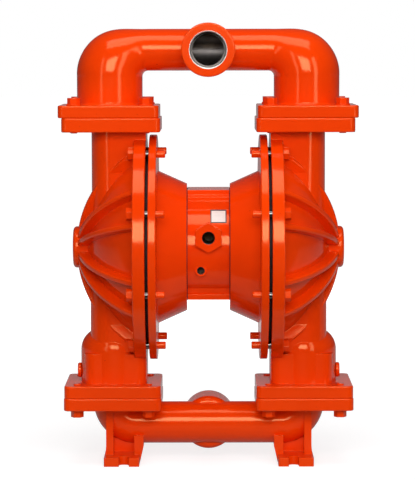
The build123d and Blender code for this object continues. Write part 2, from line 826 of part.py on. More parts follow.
with BuildPart() as outlet_manifold:
    add(outlet_half)
    add(plate(outlet_x, outlet_joint_z, outlet_plate_w, outlet_plate_t))
    leg_root = outlet_manifold.edges().filter_by(GeomType.CIRCLE).filter_by(
        lambda e: abs(e.radius - outlet_leg_r) < fit_gap
        and abs(e.center().Z - outlet_plate_top_z) < fit_gap
    )
    fillet(leg_root, radius=leg_root_r)
    mirror(about=Plane.YZ)
    add(port_boss(outlet_pipe_z, port_reach, -1))
    add(outlet_passage, mode=Mode.SUBTRACT)
    add(mirror(outlet_passage, about=Plane.YZ, mode=Mode.PRIVATE), mode=Mode.SUBTRACT)
    add(port_bore(outlet_pipe_z, port_reach, -1, outlet_pipe_r - manifold_wall), mode=Mode.SUBTRACT)
    for side in (-1, 1):
        add(cage_guides(side * outlet_x, outlet_joint_z, outlet_leg_r - manifold_wall))
        with BuildSketch(Plane(origin=(side * outlet_bolt_x, 0, outlet_joint_z))):
            with GridLocations(2 * plate_bolt_half, 2 * plate_bolt_half, 2, 2):
                Circle(bolt_hole_r)
        extrude(amount=outlet_plate_t, mode=Mode.SUBTRACT)

save(outlet_manifold.part, "outlet_manifold")

# Inlet manifold: cross pipe, tight elbows up into the plates, cast feet
inlet_pivot_x = inlet_x - inlet_elbow_r
inlet_pivot_z = inlet_pipe_z + inlet_elbow_r


def inlet_channel(radius):
    """Half of the inlet pipe and its elbow, up into the bolting plate."""
    with BuildPart() as made:
        with BuildSketch(Plane(origin=(0, 0, inlet_pipe_z), x_dir=(0, 1, 0), z_dir=(1, 0, 0))):
            Circle(radius)
        extrude(amount=inlet_pivot_x)
        with BuildSketch(
            Plane(origin=(inlet_pivot_x, 0, inlet_pipe_z), x_dir=(0, 1, 0), z_dir=(1, 0, 0))
        ):
            Circle(radius)
        revolve(
            axis=Axis((inlet_pivot_x, 0, inlet_pivot_z), (0, -1, 0)), revolution_arc=90
        )
        with BuildSketch(Plane(origin=(inlet_x, 0, inlet_pivot_z))):
            Circle(radius)
        extrude(amount=inlet_joint_z - seat_h - inlet_pivot_z)
    return made.part


def foot():
    """Cast foot under one elbow: two upright webs, a cross web and a slotted base."""
    cross_web_top = inlet_pipe_z - inlet_pipe_r / 2
    with BuildPart() as made:
        with BuildSketch(Plane.XZ):
            with BuildLine():
                Polyline(
                    (foot_outer_web_x - foot_web_t / 2, 0),
                    (foot_outer_web_x + foot_web_t / 2 + foot_edge_r, 0),
                    (foot_outer_web_x + foot_web_t / 2, 2 * foot_base_t),
                    (foot_outer_web_x + foot_web_t / 2, inlet_plate_z + foot_edge_r),
                    (foot_outer_web_x - foot_web_t / 2, inlet_plate_z + foot_edge_r),
                    close=True,
                )
            make_face()
            with BuildLine():
                Polyline(
                    (foot_base_in, 0),
                    (foot_inner_web_x + foot_web_t / 2, 0),
                    (foot_inner_web_x + foot_web_t / 2, inlet_pipe_z - inlet_pipe_r / 2),
                    (foot_base_in - foot_web_flare, inlet_pipe_z - inlet_pipe_r / 2),
                    (foot_base_in - foot_web_flare, inlet_pipe_z - inlet_pipe_r),
                    close=True,
                )
            make_face()
        extrude(amount=foot_web_half, both=True)
        with BuildSketch(Plane.XY):
            with Locations(((foot_base_in + foot_base_out) / 2, 0)):
                RectangleRounded(foot_base_out - foot_base_in, 2 * foot_base_half, foot_edge_r)
        extrude(amount=foot_base_t)
        with BuildSketch(Plane.XZ):
            with BuildLine():
                Polyline(
                    (foot_inner_web_x, 0),
                    (foot_outer_web_x, 0),
                    (foot_outer_web_x, inlet_plate_z),
                    (foot_inner_web_x, cross_web_top),
                    close=True,
                )
            make_face()
        extrude(amount=foot_web_t / 2, both=True)
        for side in (-1, 1):
            slot_out = side * (foot_base_half + foot_slot_w)
            slot_centre = side * (foot_slot_end + foot_slot_w / 2)
            with BuildSketch(Plane.XY):
                SlotCenterPoint(
                    (foot_slot_x, (slot_centre + slot_out) / 2), (foot_slot_x, slot_out), foot_slot_w
                )
            extrude(amount=foot_base_t, mode=Mode.SUBTRACT)
    return made.part


with BuildPart() as inlet_manifold:
    add(inlet_channel(inlet_pipe_r))
    add(plate(inlet_x, inlet_plate_z, inlet_plate_w, inlet_plate_t))
    add(foot())
    mirror(about=Plane.YZ)
    add(port_boss(inlet_pipe_z, inlet_port_reach, 1))
    inlet_passage = inlet_channel(inlet_pipe_r - manifold_wall)
    add(inlet_passage, mode=Mode.SUBTRACT)
    add(mirror(inlet_passage, about=Plane.YZ, mode=Mode.PRIVATE), mode=Mode.SUBTRACT)
    add(
        port_bore(inlet_pipe_z, inlet_port_reach, 1, inlet_pipe_r - manifold_wall),
        mode=Mode.SUBTRACT,
    )
    for side in (-1, 1):
        with BuildSketch(Plane(origin=(side * inlet_x, 0, inlet_joint_z - seat_h))):
            Circle(seat_outer_r + fit_gap)
        extrude(amount=seat_h, mode=Mode.SUBTRACT)
        with BuildSketch(Plane(origin=(side * inlet_x, 0, inlet_plate_z))):
            with GridLocations(2 * plate_bolt_half, 2 * plate_bolt_half, 2, 2):
                Circle(bolt_hole_r)
        extrude(amount=inlet_plate_t, mode=Mode.SUBTRACT)

save(inlet_manifold.part, "inlet_manifold")


def valve_seat(x, joint_z):
    """Seat ring below a joint plane, with a spherical land and a rebate for its o-ring."""
    land_low = sqrt(seat_land_r**2 - seat_bore_r**2) - ball_rise
    rebate = 2 * oring_r + fit_gap
    mid_r = (seat_bore_r + seat_mouth_r) / 2
    land_mid = sqrt(seat_land_r**2 - mid_r**2) - ball_rise
    with BuildPart() as made:
        with BuildSketch(Plane(origin=(x, 0, joint_z), x_dir=(1, 0, 0), z_dir=(0, -1, 0))):
            with BuildLine():
                ThreePointArc(
                    (seat_bore_r, -land_low), (mid_r, -land_mid), (seat_mouth_r, 0)
                )
                Polyline(
                    (seat_mouth_r, 0),
                    (seat_outer_r - rebate, 0),
                    (seat_outer_r - rebate, -rebate),
                    (seat_outer_r, -rebate),
                    (seat_outer_r, -seat_h),
                    (seat_bore_r, -seat_h),
                    (seat_bore_r, -land_low),
                )
            make_face()
        revolve(axis=Axis((x, 0, 0), (0, 0, 1)))
    return made.part


def seat_oring(x, joint_z):
    """O-ring in the rebate round the top of a valve seat."""
    centre_r = seat_outer_r - oring_r
    with BuildPart() as made:
        with BuildSketch(Plane(origin=(x, 0, joint_z), x_dir=(1, 0, 0), z_dir=(0, -1, 0))):
            with Locations((centre_r, -oring_r - fit_gap / 2)):
                Circle(oring_r)
        revolve(axis=Axis((x, 0, 0), (0, 0, 1)))
    return made.part


def ball(x, joint_z):
    """Check valve ball resting on its seat."""
    with BuildPart() as made:
        with Locations((x, 0, joint_z + ball_rise)):
            Sphere(ball_r)
    return made.part


for port, port_x, port_joint_z in (
    ("outlet", outlet_x, outlet_joint_z),
    ("inlet", inlet_x, inlet_joint_z),
):
    save_pair(valve_seat(port_x, port_joint_z), f"{port}_seat")
    save_pair(seat_oring(port_x, port_joint_z), f"{port}_seat_oring")
    save_pair(ball(port_x, port_joint_z), f"{port}_ball")


def hex_bolt(under_head, length):
    """Hexagon bolt: the plane lies under the head and looks along the shank."""
    with BuildPart() as made:
        with BuildSketch(under_head):
            RegularPolygon(bolt_af / 2, 6, major_radius=False)
        extrude(amount=-bolt_head_h)
        with BuildSketch(under_head):
            Circle(bolt_r)
        extrude(amount=length)
        tip = made.edges().filter_by(GeomType.CIRCLE).sort_by(
            Axis(under_head.origin, under_head.z_dir)
        )[-1]
        chamfer(tip, length=bolt_tip_chamfer)
    return made.part


# Flange bolts clamp each fluid cap to its air chamber, heads on the cap
with BuildPart() as chamber_bolts:
    shank = cap_front_x - air_joint_x + air_flange_t + chamber_bolt_end
    for number in range(chamber_bolt_count):
        bolt_angle = 360 / chamber_bolt_count * (number + 0.5)
        bolt_y = bolt_circle_r * cos(radians(bolt_angle))
        bolt_z = shaft_z + bolt_circle_r * sin(radians(bolt_angle))
        add(
            hex_bolt(
                Plane(
                    origin=(cap_front_x, bolt_y, bolt_z),
                    x_dir=(0, cos(radians(bolt_angle)), sin(radians(bolt_angle))),
                    z_dir=(-1, 0, 0),
                ),
                shank,
            )
        )

save_pair(chamber_bolts.part, "chamber_bolts")


def plate_bolts(x, z, down, grip):
    """Four bolts and their washers on one manifold plate face at height z."""
    with BuildPart() as washers:
        with BuildSketch(Plane(origin=(x, 0, z))):
            with GridLocations(2 * plate_bolt_half, 2 * plate_bolt_half, 2, 2):
                Circle(washer_r)
                Circle(bolt_hole_r, mode=Mode.SUBTRACT)
        extrude(amount=washer_t * down)
    with BuildPart() as bolts:
        for corner in GridLocations(2 * plate_bolt_half, 2 * plate_bolt_half, 2, 2):
            spot = corner.position
            under_head = Plane(
                origin=(x + spot.X, spot.Y, z + washer_t * down), x_dir=(1, 0, 0), z_dir=(0, 0, -down)
            )
            add(hex_bolt(under_head, washer_t + grip + plate_bolt_end))
    return washers.part, bolts.part


outlet_washers, outlet_bolts = plate_bolts(
    outlet_bolt_x, outlet_plate_top_z, 1, outlet_plate_t + outlet_cap_plate_t
)
save_pair(outlet_washers, "outlet_washers")
save_pair(outlet_bolts, "outlet_bolts")
inlet_washers, inlet_bolts = plate_bolts(
    inlet_x, inlet_plate_z, -1, inlet_plate_t + inlet_cap_plate_t
)
save_pair(inlet_washers, "inlet_washers")
save_pair(inlet_bolts, "inlet_bolts")


def socket_screw(under_head, radius, head_r, head_h, length):
    """Socket head screw: the plane lies under the head and looks along the shank."""
    with BuildPart() as made:
        with BuildSketch(under_head):
            Circle(head_r)
        extrude(amount=-head_h)
        with BuildSketch(under_head):
            Circle(radius)
        extrude(amount=length)
        with BuildSketch(under_head.offset(-head_h)):
            RegularPolygon(socket_share * radius, 6, major_radius=False)
        extrude(amount=head_h / 2, mode=Mode.SUBTRACT)
    return made.part


# Screws that hold each air chamber to the block, from inside the chamber
with BuildPart() as chamber_screws:
    for corner in chamber_screw_points:
        spot = corner.position
        add(
            socket_screw(
                Plane(
                    origin=(chamber_inner_x, spot.X, shaft_z + spot.Y),
                    x_dir=(0, 1, 0),
                    z_dir=(-1, 0, 0),
                ),
                chamber_screw_r,
                chamber_screw_head_r,
                chamber_screw_head_h,
                chamber_wall + gasket_t + chamber_screw_depth - stop_gap,
            )
        )

save_pair(chamber_screws.part, "chamber_screws")

# Shaft bushes and lip seals at the ends of the block's bore
with BuildPart() as shaft_bushing:
    with BuildSketch(across(chamber_inner_x - seal_len - bush_len)):
        Circle(bush_outer_r)
        Circle(shaft_r + running_gap, mode=Mode.SUBTRACT)
    extrude(amount=bush_len)

save_pair(shaft_bushing.part, "shaft_bushing")

with BuildPart() as shaft_seal:
    with BuildSketch(across(chamber_inner_x - seal_len)):
        Circle(bush_outer_r)
        Circle(shaft_r + running_gap, mode=Mode.SUBTRACT)
    extrude(amount=seal_len)
    groove_edges = shaft_seal.edges().filter_by(GeomType.CIRCLE).sort_by(Axis.X)[-1]
    chamfer(groove_edges, length=mouth_chamfer)

save_pair(shaft_seal.part, "shaft_seal")

# Diaphragm: clamped rim, flexing fold and a flat middle between its two plates
middle_x = (air_joint_x + cap_joint_x) / 2 + diaphragm_rise
middle_in_x = middle_x - diaphragm_t / 2
middle_out_x = middle_x + diaphragm_t / 2

with BuildPart() as diaphragm:
    with BuildSketch(axial):
        with BuildLine():
            flat_r = plate_r + plate_rim_r
            Polyline(
                (middle_out_x, flat_r),
                (middle_out_x, shaft_stud_r + fit_gap),
                (middle_in_x, shaft_stud_r + fit_gap),
                (middle_in_x, flat_r),
            )
            Spline(
                (middle_in_x, flat_r),
                (air_joint_x, rim_inner_r),
                tangents=((0, 1), (0, 1)),
            )
            Polyline(
                (air_joint_x, rim_inner_r),
                (air_joint_x, rim_outer_r),
                (cap_joint_x, rim_outer_r),
                (cap_joint_x, rim_inner_r),
            )
            Spline(
                (cap_joint_x, rim_inner_r),
                (middle_out_x, flat_r),
                tangents=((0, -1), (0, -1)),
            )
        make_face()
    revolve(axis=shaft_axis)

save_pair(diaphragm.part, "diaphragm")

# Main shaft with a stud at each end, and the plates that clamp each diaphragm
inner_plate_x = middle_in_x - inner_plate_t

with BuildPart() as main_shaft:
    with BuildSketch(across(0)):
        Circle(shaft_r)
    extrude(amount=inner_plate_x, both=True)
    with BuildSketch(across(0)):
        Circle(shaft_stud_r)
    extrude(amount=middle_out_x + stud_reach, both=True)
    chamfer(main_shaft.edges().filter_by(GeomType.CIRCLE).group_by(Axis.X)[0], length=shaft_chamfer)
    chamfer(main_shaft.edges().filter_by(GeomType.CIRCLE).group_by(Axis.X)[-1], length=shaft_chamfer)

save(main_shaft.part, "main_shaft")

with BuildPart() as inner_plate:
    with BuildSketch(across(inner_plate_x)):
        Circle(plate_r)
        Circle(shaft_stud_r + fit_gap, mode=Mode.SUBTRACT)
    extrude(amount=inner_plate_t)
    plate_edges = inner_plate.edges().filter_by(GeomType.CIRCLE).filter_by(
        lambda e: e.radius > plate_r - fit_gap
    )
    fillet(plate_edges, radius=plate_rim_r)

save_pair(inner_plate.part, "inner_plate")

with BuildPart() as outer_plate:
    with BuildSketch(axial):
        with BuildLine():
            hub_r = shaft_stud_r + inner_plate_t
            Polyline(
                (middle_out_x + plate_rim_r, plate_r),
                (middle_out_x, plate_r - plate_rim_r),
                (middle_out_x, 0),
                (middle_out_x + outer_plate_t, 0),
                (middle_out_x + outer_plate_t, hub_r),
                (middle_out_x + 2 * plate_rim_r, plate_r),
                (middle_out_x + plate_rim_r, plate_r),
            )
        make_face()
    revolve(axis=shaft_axis)
    with BuildSketch(across(middle_out_x)):
        Circle(shaft_stud_r + fit_gap)
    extrude(amount=stud_reach + stop_gap, mode=Mode.SUBTRACT)

save_pair(outer_plate.part, "outer_plate")

# Pilot sleeve and rod, above and behind the shaft
pilot_half = inner_plate_x - shaft_stroke - stop_gap

with BuildPart() as pilot_sleeve:
    with BuildSketch(across(0)):
        with Locations((pilot_offset, pilot_offset)):
            Circle(pilot_sleeve_r)
            Circle(pilot_r + running_gap, mode=Mode.SUBTRACT)
    extrude(amount=chamber_inner_x, both=True)

save(pilot_sleeve.part, "pilot_sleeve")

with BuildPart() as pilot_rod:
    with BuildSketch(across(0)):
        with Locations((pilot_offset, pilot_offset)):
            Circle(pilot_r)
    extrude(amount=pilot_half, both=True)
    for side in (-1, 1):
        with BuildSketch(across(side * pilot_land / 2)):
            with Locations((pilot_offset, pilot_offset)):
                Circle(pilot_r)
                Circle(pilot_waist_r, mode=Mode.SUBTRACT)
        extrude(amount=side * pilot_waist_len, mode=Mode.SUBTRACT)

save(pilot_rod.part, "pilot_rod")

# Air distribution valve: gasket, body, ported sleeve, spool and two end covers
valve_gasket_y = block_rear + gasket_t
valve_axis_y = valve_gasket_y + valve_axis_out
valve_face = Plane(origin=(0, block_rear, shaft_z), x_dir=(-1, 0, 0), z_dir=(0, 1, 0))
barrel_plane = Plane(origin=(0, valve_axis_y, shaft_z))
valve_rear_y = valve_gasket_y + valve_flange_t

with BuildPart() as air_valve_gasket:
    with BuildSketch(valve_face):
        RectangleRounded(2 * valve_flange_half_w, 2 * valve_flange_half_h, plate_corner_r)
        with valve_screw_points:
            Circle(valve_screw_r + bolt_clearance, mode=Mode.SUBTRACT)
        with Locations((0, gallery_z - shaft_z)):
            Circle(air_gallery_r, mode=Mode.SUBTRACT)
    extrude(amount=gasket_t)

save(air_valve_gasket.part, "air_valve_gasket")

with BuildPart() as air_valve_body:
    with BuildSketch(valve_face.offset(gasket_t)):
        RectangleRounded(2 * valve_flange_half_w, 2 * valve_flange_half_h, plate_corner_r)
    extrude(amount=valve_flange_t)
    with BuildSketch(barrel_plane):
        Circle(valve_barrel_r)
        with Locations((0, -valve_axis_out / 2)):
            Rectangle(2 * valve_barrel_r, valve_axis_out)
    extrude(amount=valve_barrel_half_h, both=True)
    with BuildSketch(Plane(origin=(0, valve_axis_y, shaft_z), x_dir=(-1, 0, 0), z_dir=(0, 1, 0))):
        Circle(exhaust_boss_r)
    extrude(amount=exhaust_boss_reach)
    with BuildSketch(barrel_plane):
        Circle(valve_sleeve_r + fit_gap)
    extrude(amount=valve_barrel_half_h, both=True, mode=Mode.SUBTRACT)
    with BuildSketch(Plane(origin=(0, valve_axis_y, shaft_z), x_dir=(-1, 0, 0), z_dir=(0, 1, 0))):
        Circle(exhaust_passage_r)
    extrude(amount=exhaust_boss_reach, mode=Mode.SUBTRACT)
    with BuildSketch(
        Plane(origin=(0, valve_axis_y + exhaust_boss_reach, shaft_z), x_dir=(1, 0, 0), z_dir=(0, -1, 0))
    ):
        Circle(exhaust_r)
    extrude(amount=exhaust_thread_depth, mode=Mode.SUBTRACT)
    with BuildSketch(valve_face.offset(gasket_t)):
        with valve_screw_points:
            Circle(valve_screw_r + bolt_clearance)
    extrude(amount=valve_flange_t, mode=Mode.SUBTRACT)
    with BuildSketch(Plane(origin=(0, block_rear, gallery_z), x_dir=(-1, 0, 0), z_dir=(0, 1, 0))):
        Circle(air_gallery_r)
    extrude(amount=valve_axis_out, mode=Mode.SUBTRACT)
    for end in (-1, 1):
        with BuildSketch(barrel_plane.offset(end * valve_barrel_half_h)):
            with PolarLocations(cap_screw_circle, cap_screw_count, start_angle=180 / cap_screw_count):
                Circle(cap_screw_r + thread_clearance)
        extrude(amount=-end * cap_screw_depth, mode=Mode.SUBTRACT)

save(air_valve_body.part, "air_valve_body")

with BuildPart() as air_valve_sleeve:
    with BuildSketch(barrel_plane):
        Circle(valve_sleeve_r)
        Circle(spool_r + running_gap, mode=Mode.SUBTRACT)
    extrude(amount=valve_barrel_half_h, both=True)
    for row in valve_port_rows:
        for number in range(valve_port_count):
            port_angle = radians(360 / valve_port_count * number)
            with BuildSketch(
                Plane(
                    origin=(0, valve_axis_y, shaft_z + row),
                    x_dir=(0, 0, 1),
                    z_dir=(cos(port_angle), sin(port_angle), 0),
                )
            ):
                Circle(valve_port_r)
            extrude(amount=valve_sleeve_r + fit_gap, mode=Mode.SUBTRACT)

save(air_valve_sleeve.part, "air_valve_sleeve")

# The spool rests at the bottom of its travel, one stop gap above the cover
spool_bottom = -valve_barrel_half_h + stop_gap
spool_top = valve_barrel_half_h - stop_gap - spool_travel
spool_waist = (spool_top - spool_bottom - 3 * spool_land) / 2

with BuildPart() as air_valve_spool:
    with BuildSketch(barrel_plane.offset(spool_bottom)):
        Circle(spool_r)
    extrude(amount=spool_top - spool_bottom)
    for number in range(2):
        waist_low = spool_bottom + spool_land + number * (spool_land + spool_waist)
        with BuildSketch(barrel_plane.offset(waist_low)):
            Circle(spool_r)
            Circle(spool_waist_r, mode=Mode.SUBTRACT)
        extrude(amount=spool_waist, mode=Mode.SUBTRACT)

save(air_valve_spool.part, "air_valve_spool")

with BuildPart() as cap_screws:
    for end in (-1, 1):
        for corner in PolarLocations(
            cap_screw_circle, cap_screw_count, start_angle=180 / cap_screw_count
        ):
            spot = corner.position
            add(
                socket_screw(
                    Plane(
                        origin=(
                            spot.X,
                            valve_axis_y + spot.Y,
                            shaft_z + end * (valve_barrel_half_h + valve_cap_t),
                        ),
                        x_dir=(1, 0, 0),
                        z_dir=(0, 0, -end),
                    ),
                    cap_screw_r,
                    cap_screw_head_r,
                    cap_screw_head_h,
                    valve_cap_t + cap_screw_depth - stop_gap,
                )
            )

save(cap_screws.part, "air_valve_cap_screws")

for end, name in ((1, "air_valve_cap_top"), (-1, "air_valve_cap_bottom")):
    with BuildPart() as valve_cap:
        with BuildSketch(barrel_plane.offset(end * valve_barrel_half_h)):
            Circle(valve_barrel_r)
            with Locations((0, valve_rear_y + stop_gap - valve_axis_y - valve_barrel_r)):
                Rectangle(2 * valve_barrel_r, 2 * valve_barrel_r, mode=Mode.SUBTRACT)
            with PolarLocations(cap_screw_circle, cap_screw_count, start_angle=180 / cap_screw_count):
                Circle(cap_screw_r + bolt_clearance, mode=Mode.SUBTRACT)
        extrude(amount=end * valve_cap_t)
    save(valve_cap.part, name)

with BuildPart() as valve_screws:
    for corner in valve_screw_points:
        spot = corner.position
        add(
            socket_screw(
                Plane(
                    origin=(spot.X, valve_rear_y, shaft_z + spot.Y),
                    x_dir=(1, 0, 0),
                    z_dir=(0, -1, 0),
                ),
                valve_screw_r,
                valve_screw_head_r,
                valve_screw_head_h,
                valve_flange_t + gasket_t + valve_screw_depth - stop_gap,
            )
        )

save(valve_screws.part, "air_valve_body_screws")
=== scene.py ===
import math
import bpy
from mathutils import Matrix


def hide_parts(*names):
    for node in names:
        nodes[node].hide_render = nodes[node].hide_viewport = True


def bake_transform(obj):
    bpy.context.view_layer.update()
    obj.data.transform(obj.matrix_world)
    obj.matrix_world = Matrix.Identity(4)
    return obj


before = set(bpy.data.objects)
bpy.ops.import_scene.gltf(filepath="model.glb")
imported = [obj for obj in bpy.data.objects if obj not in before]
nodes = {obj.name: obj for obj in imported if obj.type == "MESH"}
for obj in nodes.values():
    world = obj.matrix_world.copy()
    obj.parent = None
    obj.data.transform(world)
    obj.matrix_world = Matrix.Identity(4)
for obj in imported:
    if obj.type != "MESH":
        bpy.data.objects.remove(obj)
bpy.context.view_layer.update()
bpy.ops.object.select_all(action="DESELECT")


# Castings: block, air chambers, fluid caps, manifolds and air valve, in sand cast metal under
# one coat of glossy orange-red enamel. The coat follows the sand's fine grain, drifts a little
# in colour and gloss and has small dark chips. The tapped ports stay bare metal inside, coloured
# dark grey there as painted shade in the bores.
paint_thin = (0.86, 0.044, 0.0006, 1)
paint_thick = (0.94, 0.053, 0.0006, 1)
paint_chip = (0.42, 0.02, 0.004, 1)
paint_mirror = (1.0, 0.66, 0.30, 1)
# Bare metal inside the bores, darkened below any real metal as painted shade in the holes
bore_shaded_dark = (0.10, 0.09, 0.085)
bore_shaded_light = (0.22, 0.20, 0.19)
mouth_bright = (0.86, 0.83, 0.78, 1)
mouth_half_w = 0.0016


# zones: the bare places, each inside a cylinder given by its axis, the middle point with 0 on
# that axis, the radius, and its ends along the axis. mouth_y: where a bore's cut edge shines.
def enamel(name, zones=(), mouth_y=0, dark=bore_shaded_dark, light=bore_shaded_light):
    material = bpy.data.materials.new(name)
    material.use_nodes = True
    tree = material.node_tree
    shader = tree.nodes["Principled BSDF"]
    shader.inputs["IOR"].default_value = 1.5
    shader.inputs["Specular Tint"].default_value = paint_mirror
    place = tree.nodes.new("ShaderNodeTexCoord")

    cloud = tree.nodes.new("ShaderNodeTexNoise")
    cloud.inputs["Scale"].default_value = 7.0
    cloud.inputs["Detail"].default_value = 4.0
    tree.links.new(place.outputs["Object"], cloud.inputs["Vector"])
    tint = tree.nodes.new("ShaderNodeValToRGB")
    tint.color_ramp.elements[0].position = 0.32
    tint.color_ramp.elements[0].color = paint_thin
    tint.color_ramp.elements[1].position = 0.68
    tint.color_ramp.elements[1].color = paint_thick
    tree.links.new(cloud.outputs["Fac"], tint.inputs["Fac"])

    speck = tree.nodes.new("ShaderNodeTexNoise")
    speck.inputs["Scale"].default_value = 260.0
    speck.inputs["Detail"].default_value = 2.0
    tree.links.new(place.outputs["Object"], speck.inputs["Vector"])
    chip = tree.nodes.new("ShaderNodeValToRGB")
    chip.color_ramp.elements[0].position = 0.20
    chip.color_ramp.elements[0].color = (1, 1, 1, 1)
    chip.color_ramp.elements[1].position = 0.25
    chip.color_ramp.elements[1].color = (0, 0, 0, 1)
    tree.links.new(speck.outputs["Fac"], chip.inputs["Fac"])
    worn = tree.nodes.new("ShaderNodeMix")
    worn.data_type = "RGBA"
    worn.inputs["B"].default_value = paint_chip
    tree.links.new(chip.outputs["Color"], worn.inputs["Factor"])
    tree.links.new(tint.outputs["Color"], worn.inputs["A"])

    sand = tree.nodes.new("ShaderNodeTexNoise")
    sand.inputs["Scale"].default_value = 420.0
    sand.inputs["Detail"].default_value = 3.0
    tree.links.new(place.outputs["Object"], sand.inputs["Vector"])
    ripple = tree.nodes.new("ShaderNodeTexNoise")
    ripple.inputs["Scale"].default_value = 55.0
    ripple.inputs["Detail"].default_value = 2.0
    tree.links.new(place.outputs["Object"], ripple.inputs["Vector"])
    corner = tree.nodes.new("ShaderNodeBevel")
    corner.inputs["Radius"].default_value = 0.0016
    corner.samples = 4
    wave = tree.nodes.new("ShaderNodeBump")
    wave.inputs["Strength"].default_value = 0.15
    wave.inputs["Distance"].default_value = 0.0008
    tree.links.new(ripple.outputs["Fac"], wave.inputs["Height"])
    tree.links.new(corner.outputs["Normal"], wave.inputs["Normal"])
    grain = tree.nodes.new("ShaderNodeBump")
    grain.inputs["Strength"].default_value = 0.10
    grain.inputs["Distance"].default_value = 0.0002
    tree.links.new(sand.outputs["Fac"], grain.inputs["Height"])
    tree.links.new(wave.outputs["Normal"], grain.inputs["Normal"])
    tree.links.new(grain.outputs["Normal"], shader.inputs["Normal"])

    gloss = tree.nodes.new("ShaderNodeMapRange")
    gloss.inputs["To Min"].default_value = 0.09
    gloss.inputs["To Max"].default_value = 0.17
    tree.links.new(cloud.outputs["Fac"], gloss.inputs["Value"])
    colour = worn.outputs["Result"]
    rough = gloss.outputs["Result"]

    if zones:
        metal = None
        depth = tree.nodes.new("ShaderNodeSeparateXYZ")
        tree.links.new(place.outputs["Object"], depth.inputs["Vector"])
        for axis, middle, radius, low, high in zones:
            flat = tree.nodes.new("ShaderNodeVectorMath")
            flat.operation = "MULTIPLY"
            flat.inputs[1].default_value = (axis != "X", axis != "Y", 1)
            tree.links.new(place.outputs["Object"], flat.inputs[0])
            reach = tree.nodes.new("ShaderNodeVectorMath")
            reach.operation = "DISTANCE"
            reach.inputs[1].default_value = middle
            tree.links.new(flat.outputs["Vector"], reach.inputs[0])
            near = tree.nodes.new("ShaderNodeMath")
            near.operation = "LESS_THAN"
            near.inputs[1].default_value = radius
            tree.links.new(reach.outputs["Value"], near.inputs[0])
            deep = tree.nodes.new("ShaderNodeMath")
            deep.operation = "COMPARE"
            deep.inputs[1].default_value = (low + high) / 2
            deep.inputs[2].default_value = (high - low) / 2
            tree.links.new(depth.outputs[axis], deep.inputs[0])
            zone = tree.nodes.new("ShaderNodeMath")
            zone.operation = "MULTIPLY"
            tree.links.new(near.outputs["Value"], zone.inputs[0])
            tree.links.new(deep.outputs["Value"], zone.inputs[1])
            if metal is None:
                metal = zone.outputs["Value"]
            else:
                both = tree.nodes.new("ShaderNodeMath")
                both.operation = "MAXIMUM"
                tree.links.new(metal, both.inputs[0])
                tree.links.new(zone.outputs["Value"], both.inputs[1])
                metal = both.outputs["Value"]

        lathe = tree.nodes.new("ShaderNodeTexNoise")
        lathe.inputs["Scale"].default_value = 90.0
        lathe.inputs["Detail"].default_value = 4.0
        tree.links.new(place.outputs["Object"], lathe.inputs["Vector"])
        # Dark bare metal inside the bores with a random tone: painted shade in the holes.
        shaded_steel = tree.nodes.new("ShaderNodeValToRGB")
        shaded_steel.color_ramp.elements[0].color = (*dark, 1)
        shaded_steel.color_ramp.elements[1].color = (*light, 1)
        tree.links.new(lathe.outputs["Fac"], shaded_steel.inputs["Fac"])
        mouth = tree.nodes.new("ShaderNodeMath")
        mouth.operation = "COMPARE"
        mouth.inputs[1].default_value = mouth_y
        mouth.inputs[2].default_value = mouth_half_w
        tree.links.new(depth.outputs["Y"], mouth.inputs[0])
        turned = tree.nodes.new("ShaderNodeMix")
        turned.data_type = "RGBA"
        turned.inputs["B"].default_value = mouth_bright
        tree.links.new(mouth.outputs["Value"], turned.inputs["Factor"])
        tree.links.new(shaded_steel.outputs["Color"], turned.inputs["A"])
        bare = tree.nodes.new("ShaderNodeMix")
        bare.data_type = "RGBA"
        tree.links.new(metal, bare.inputs["Factor"])
        tree.links.new(colour, bare.inputs["A"])
        tree.links.new(turned.outputs["Result"], bare.inputs["B"])
        colour = bare.outputs["Result"]
        dull = tree.nodes.new("ShaderNodeMix")
        dull.inputs["B"].default_value = 0.42
        tree.links.new(metal, dull.inputs["Factor"])
        tree.links.new(rough, dull.inputs["A"])
        rough = dull.outputs["Result"]
        tree.links.new(metal, shader.inputs["Metallic"])
    tree.links.new(colour, shader.inputs["Base Color"])
    tree.links.new(rough, shader.inputs["Roughness"])
    return material


def dress(material, *names):
    for name in names:
        nodes[name].material_slots[0].material = material


dress(
    enamel("body_enamel"),
    "air_chamber_left", "air_chamber_right", "fluid_cap_left", "fluid_cap_right",
    "air_valve_cap_top", "air_valve_cap_bottom",
)
air_inlet = ("Y", (0, 0, 0.373), 0.0104, -0.12, 0)
gauge_port = ("Y", (-0.0123, 0, 0.3194), 0.0062, -0.12, 0)
# Inside the air inlet and gauge port the bare metal is near black: painted shade in the holes.
dress(
    enamel(
        "block_enamel", (air_inlet, gauge_port),
        dark=(0.03, 0.026, 0.024), light=(0.09, 0.08, 0.075),
    ),
    "center_block",
)

# Each manifold is bare in its threaded port and along the cross pipe, as far as the port shows;
# the dark metal there is painted shade
outlet_z = 0.674
inlet_z = 0.062
port_r = 0.0306
passage_r = 0.0298
passage_half_l = 0.1
dress(
    enamel(
        "outlet_enamel",
        (
            ("Y", (0, 0, outlet_z), port_r, -0.08, -0.012),
            ("X", (0, 0, outlet_z), passage_r, -passage_half_l, passage_half_l),
        ),
        mouth_y=-0.0745,
    ),
    "outlet_manifold",
)
dress(
    enamel(
        "inlet_enamel",
        (
            ("Y", (0, 0, inlet_z), port_r, 0.012, 0.08),
            ("X", (0, 0, inlet_z), passage_r, -passage_half_l, passage_half_l),
        ),
        mouth_y=0.0655,
    ),
    "inlet_manifold",
)
exhaust_port = ("Y", (0, 0, 0.352), 0.0125, 0.08, 0.16)
dress(enamel("valve_enamel", (exhaust_port,)), "air_valve_body")
